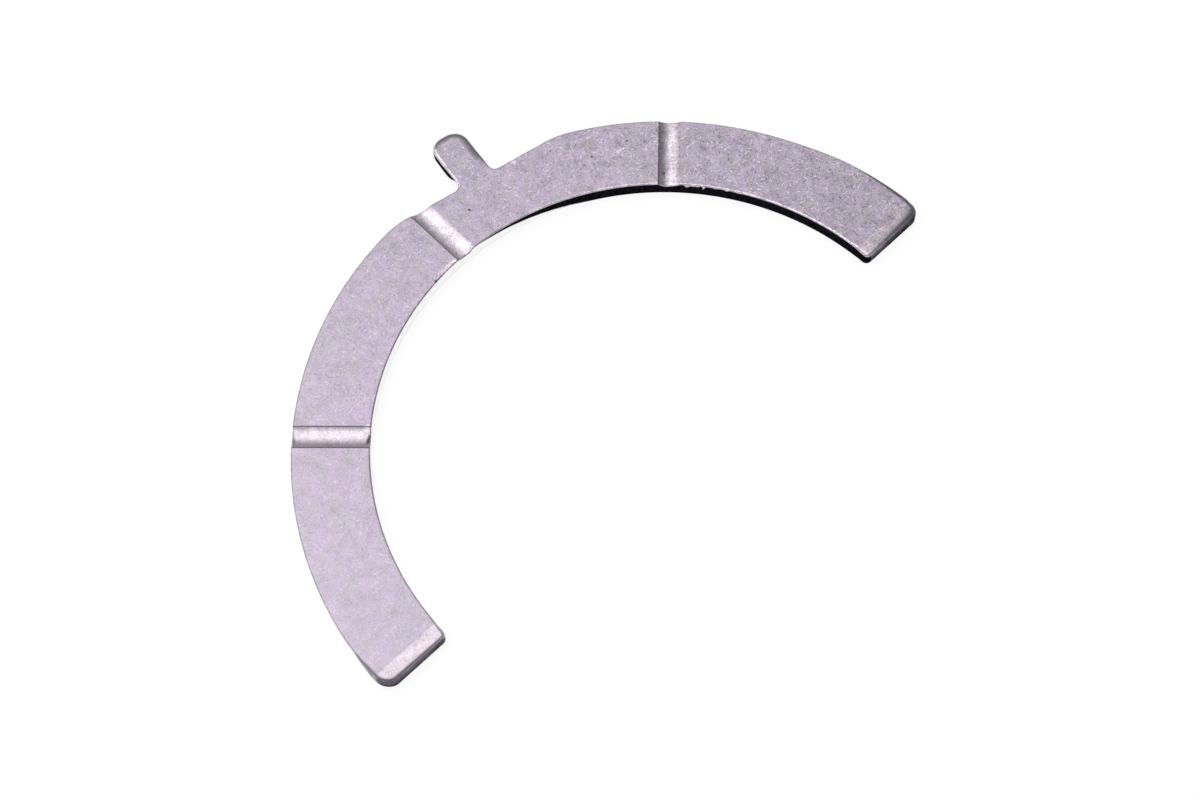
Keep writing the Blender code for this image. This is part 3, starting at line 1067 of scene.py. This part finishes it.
def uneven(pattern, swing):
    """A noise as a value that swings about 0."""
    return swing * (pattern - 0.5)


def on_face(turn, radius, centre):
    """Place on the bearing face of a turn in degrees and a radius."""
    return polar(math.radians(turn), radius) + centre


def marks(centre):
    """Each mark of handling, and each painted glint: its middle, heading, half length and half width, and
    its tone.
    """
    for first_turn, first_radius, last_turn, last_radius, width, tone in SCRATCHES:
        first = on_face(first_turn, first_radius, centre)
        last = on_face(last_turn, last_radius, centre)
        run = last - first
        yield (first + last) / 2, math.atan2(run.y, run.x), run.length / 2, width, tone
    for rows, tone in ((PITS, PIT_TONE), (NICKS, NICK_TONE)):
        for turn, radius, size in rows:
            yield on_face(turn, radius, centre), 0.0, size, size, tone
    # Painted glints on the face.
    for turn, radius, half_length, half_width in PAINTED_GLINTS:
        along = math.radians(turn + 90.0)
        yield on_face(turn, radius, centre), along, half_length, half_width, PAINTED_GLINT_TONE


def handling_marks_and_glints(finish, place, centre):
    """How much the marks of handling and the painted glints lighten the face, and how much the marks darken
    it.
    """
    light = dark = 0.0
    for middle, heading, half_length, half_width, tone in marks(centre):
        mark = finish.mark(place, middle.to_3d(), heading, half_length, half_width)
        if tone > 0:
            light = tone * mark + light
        else:
            dark = -tone * mark + dark
    return light, dark


def bearing_metal(look, form):
    """Tumbled lilac-grey bearing metal with strokes, patches and marks, painted glints, painted highlight
    and painted shade in its grooves and along its ends, and sheared walls painted from black shade to a
    bright reflection.
    """
    material = bpy.data.materials.new("bearing_metal")
    finish = Finish(material)
    place = finish.node("ShaderNodeTexCoord", output="Object")
    wall = finish.attribute("wall")
    burnish = finish.attribute("burnish")
    # Painted shade of the grooves, the tab and the ends.
    dirt = finish.attribute("dirt")

    # The left limb lies smooth, and the tumbling marks grow stronger towards the right end
    across = finish.node("ShaderNodeSeparateXYZ", None, {0: place}, output="X")
    worn = WEAR + WEAR_GROWTH * across
    patches = finish.ramp(finish.noise(place, PATCH_CELLS), 0.35, 0.7)
    clouds = finish.noise(place, CLOUD_CELLS)
    grain = finish.noise(place, GRAIN_CELLS, detail=5.0, roughness=0.8)
    dark_strokes = finish.strokes(place, *DARK_STROKES)
    light_strokes = finish.strokes(place, *LIGHT_STROKES)
    strokes = light_strokes - DARK_STROKE_SHARE * dark_strokes
    strokes = strokes * worn * worn * (1 - STROKES_LOST * burnish)
    # The light marks include the painted glints.
    light_marks_and_glints, dark_marks = handling_marks_and_glints(finish, place, form.arc_centre)
    flecks = light_marks_and_glints * finish.ramp(finish.noise(place, FLECK_CELLS), 0.42, 0.58, first=0.15)

    # Clouds are a half on average, so that they leave the polish, with its painted highlight, as strong as
    # it is pressed
    polish_and_highlight = burnish * (0.5 + clouds) + STROKE_POLISH * light_strokes * worn + FLECK_POLISH * flecks
    mottle = (uneven(clouds, CLOUD_TONE) + uneven(grain, GRAIN_TONE)) * (1 + MOTTLE_GAIN * burnish)
    # The mottled painted shade darkens the face.
    painted_shade_depth = finish.maths("MULTIPLY", dirt, PAINTED_SHADE_STRENGTH + mottle, clamp=True)
    tone = 1 + worn * mottle + STROKE_TONE * strokes + FLECK_TONE * flecks - dark_marks
    tone = tone * (1 - PAINTED_SHADE_TONE * painted_shade_depth)
    tumbled = finish.mixed(patches, (*look.lilac, 1.0), (*look.grey, 1.0))
    # Polish and painted highlight mix the face towards the bright metal.
    face = finish.shaded(finish.mixed(polish_and_highlight, tumbled, (*look.polish_and_highlight_metal, 1.0)), tone)

    # The walls go from painted black shade through dim painted shade to a bright painted reflection, and
    # grain makes their upper edge uneven
    pale = finish.ramp(finish.attribute("pale") + uneven(clouds, PALE_SWING), 0.0, 1.0)
    dull = finish.mixed(finish.ramp(pale, 0.0, 0.4), (*look.painted_black_wall, 1.0), (*look.painted_dim_wall, 1.0))
    # This wall colour is painted light: black painted shade, dim painted shade or a bright painted
    # reflection.
    painted_shading = finish.mixed(finish.ramp(pale, 0.45, 1.0), dull, (*look.painted_lit_wall, 1.0))
    wall_tone = 1 + uneven(finish.noise(place, WALL_SHADE_MOTTLE_CELLS), WALL_SHADE_MOTTLE_SWING) * (1 - pale)
    covered = finish.ramp(wall + uneven(grain, EDGE_SWING), 0.3, 0.8)

    relief = worn * (GRAIN_RELIEF * grain + STROKE_RELIEF * strokes)
    bump = finish.node("ShaderNodeBump", None, {"Strength": 0.6, "Distance": 0.00003, "Height": relief})
    roughness = look.roughness + GRAIN_ROUGHNESS * grain - POLISH_GLOSS * burnish
    shader = finish.node(
        "ShaderNodeBsdfPrincipled",
        None,
        {
            "Base Color": finish.mixed(covered, face, finish.shaded(painted_shading, wall_tone)),
            "Metallic": METALLIC - METALLIC * covered * (1 - pale),
            "Roughness": roughness - WALL_GLOSS * covered * pale,
            "Specular IOR Level": 0.0,
            "Normal": bump,
        },
    )
    finish.node("ShaderNodeOutputMaterial", None, {"Surface": shader})
    return material


class THRUSTWASHER_OT_add_washer(bpy.types.Operator):
    """Add the thrust washer, pressed from one strip of bearing metal"""

    bl_idname = "thrust_washer.add_washer"
    bl_label = "Add Washer"
    bl_options = {"REGISTER", "UNDO"}

    def execute(self, context):
        form = WasherForm(context.scene.washer_sizes)
        mesh = face_sheet(form)
        thicken(mesh, form)
        data = bpy.data.meshes.new("pressed_washer")
        mesh.to_mesh(data)
        mesh.free()
        data.shade_smooth()
        data.materials.append(bearing_metal(context.scene.washer_finish, form))
        washer = bpy.data.objects.new("pressed_washer", data)
        context.scene.collection.objects.link(washer)
        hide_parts(NODE)
        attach(washer, "root")
        return {"FINISHED"}


def ray(finish, kind):
    """1 for the light that goes a kind of way, such as what metal mirrors, and 0 for the rest."""
    return finish.node("ShaderNodeLightPath", output=f"Is {kind} Ray")


def seen_rays(finish, reflections):
    """1 for what the camera sees straight on or through glass, and a value for what metal mirrors."""
    total = ray(finish, "Camera") + ray(finish, "Glossy") * reflections + ray(finish, "Transmission")
    return finish.maths("MINIMUM", total, 1.0)


def floor_paint(stage):
    """Pale matt floor. The camera sees it lifted to white, with the shadow kept, and metal white."""
    material = bpy.data.materials.new("pale_floor")
    finish = Finish(material)
    matt = finish.node("ShaderNodeBsdfDiffuse", None, {"Color": (*stage.floor_colour, 1.0)})
    shadow = finish.node("ShaderNodeBsdfDiffuse", None, {"Color": (*stage.shadow_colour, 1.0)})
    glow = stage.floor_lift + (1 - stage.floor_lift) * ray(finish, "Glossy")
    lift = finish.node("ShaderNodeEmission", None, {"Color": WHITE, "Strength": glow})
    lifted = finish.node("ShaderNodeAddShader", None, {0: shadow, 1: lift})
    seen = seen_rays(finish, 1.0)
    shown = finish.node("ShaderNodeMixShader", None, {0: seen, 1: matt, 2: lifted})
    finish.node("ShaderNodeOutputMaterial", None, {"Surface": shown})
    return material


def studio_sky(world, stage):
    """Even dim light from all round, in front of a white backdrop that metal mirrors near the floor."""
    finish = Finish(world)
    upward = finish.node("ShaderNodeTexCoord", output="Generated")
    height = finish.node("ShaderNodeSeparateXYZ", None, {0: upward}, output="Z")
    backdrop = finish.ramp(height, 0.02, 0.12, first=1.0, last=0.0)
    light = stage.sky + (1 - stage.sky) * seen_rays(finish, backdrop)
    sky = finish.node("ShaderNodeBackground", None, {"Color": WHITE, "Strength": light})
    finish.node("ShaderNodeOutputWorld", None, {"Surface": sky})


def direction(heading, elevation):
    """Unit vector that points in a heading, at an angle over the floor."""
    level = math.cos(elevation)
    return Vector((level * math.cos(heading), level * math.sin(heading), math.sin(elevation)))


class THRUSTWASHER_OT_set_stage(bpy.types.Operator):
    """Lay the pale floor, hang the soft boxes and set up the camera"""

    bl_idname = "thrust_washer.set_stage"
    bl_label = "Set Stage"
    bl_options = {"REGISTER", "UNDO"}

    def execute(self, context):
        stage = context.scene.washer_stage
        self.lay_floor(context, stage)
        self.hang_lamps(context, stage)
        self.set_camera(context, stage)
        return {"FINISHED"}

    def lay_floor(self, context, stage):
        """A plain floor under the washer's back."""
        mesh = bmesh.new()
        bmesh.ops.create_grid(mesh, x_segments=1, y_segments=1, size=stage.floor_size / 2)
        bmesh.ops.translate(mesh, verts=mesh.verts, vec=(0, 0, LOWEST.z))
        data = bpy.data.meshes.new("floor")
        mesh.to_mesh(data)
        mesh.free()
        data.materials.append(floor_paint(stage))
        floor = bpy.data.objects.new("floor", data)
        context.scene.collection.objects.link(floor)

    def hang_lamps(self, context, stage):
        """The sky and two soft boxes."""
        world = bpy.data.worlds.new("studio")
        context.scene.world = world
        studio_sky(world, stage)
        for name in ("key", "fill"):
            lamp = bpy.data.lights.new(name, "AREA")
            lamp.shape = "SQUARE"
            lamp.size = getattr(stage, f"{name}_size")
            lamp.energy = getattr(stage, f"{name}_radiance") * math.pi * lamp.size ** 2
            soft_box = bpy.data.objects.new(name, lamp)
            context.scene.collection.objects.link(soft_box)
            towards = direction(getattr(stage, f"{name}_heading"), getattr(stage, f"{name}_elevation"))
            soft_box.location = towards * stage.lamp_distance
            soft_box.rotation_euler = towards.to_track_quat("Z", "Y").to_euler()

    def set_camera(self, context, stage):
        """The camera, from the point that it looks at."""
        forward = direction(stage.heading, -stage.elevation)
        level = forward.cross(Vector((0, 0, 1))).normalized()
        up = level.cross(forward)
        right = level * math.cos(stage.roll) + up * math.sin(stage.roll)
        camera_data = bpy.data.cameras.new("camera")
        camera_data.lens = stage.lens
        camera_data.sensor_width = SENSOR_WIDTH
        camera_data.clip_start = VIEW_START
        camera = bpy.data.objects.new("camera", camera_data)
        context.scene.collection.objects.link(camera)
        turned = Matrix((right, right.cross(forward), -forward)).transposed()
        camera.rotation_euler = turned.to_euler()
        camera.location = Vector(stage.target) - forward * stage.distance
        context.scene.camera = camera
        context.scene.view_settings.view_transform = "Standard"


class VIEW3D_PT_thrust_washer(bpy.types.Panel):
    """Sizes, finish and stage of the thrust washer"""

    bl_label = "Thrust Washer"
    bl_space_type = "VIEW_3D"
    bl_region_type = "UI"
    bl_category = "Washer"

    def draw(self, context):
        scene = context.scene
        for settings, operator in (
            (scene.washer_sizes, "thrust_washer.add_washer"),
            (scene.washer_finish, "thrust_washer.add_washer"),
            (scene.washer_stage, "thrust_washer.set_stage"),
        ):
            box = self.layout.box()
            for name in settings.__annotations__:
                box.prop(settings, name)
            box.operator(operator)


CLASSES = (
    WasherSizes,
    WasherFinish,
    StageSettings,
    THRUSTWASHER_OT_add_washer,
    THRUSTWASHER_OT_set_stage,
    VIEW3D_PT_thrust_washer,
)


def register():
    for item in CLASSES:
        bpy.utils.register_class(item)
    bpy.types.Scene.washer_sizes = PointerProperty(type=WasherSizes)
    bpy.types.Scene.washer_finish = PointerProperty(type=WasherFinish)
    bpy.types.Scene.washer_stage = PointerProperty(type=StageSettings)


def unregister():
    del bpy.types.Scene.washer_stage
    del bpy.types.Scene.washer_finish
    del bpy.types.Scene.washer_sizes
    for item in reversed(CLASSES):
        bpy.utils.unregister_class(item)


def main():
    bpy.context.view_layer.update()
    register()
    bpy.ops.thrust_washer.add_washer()
    bpy.ops.thrust_washer.set_stage()


if __name__ == "__main__":
    main()
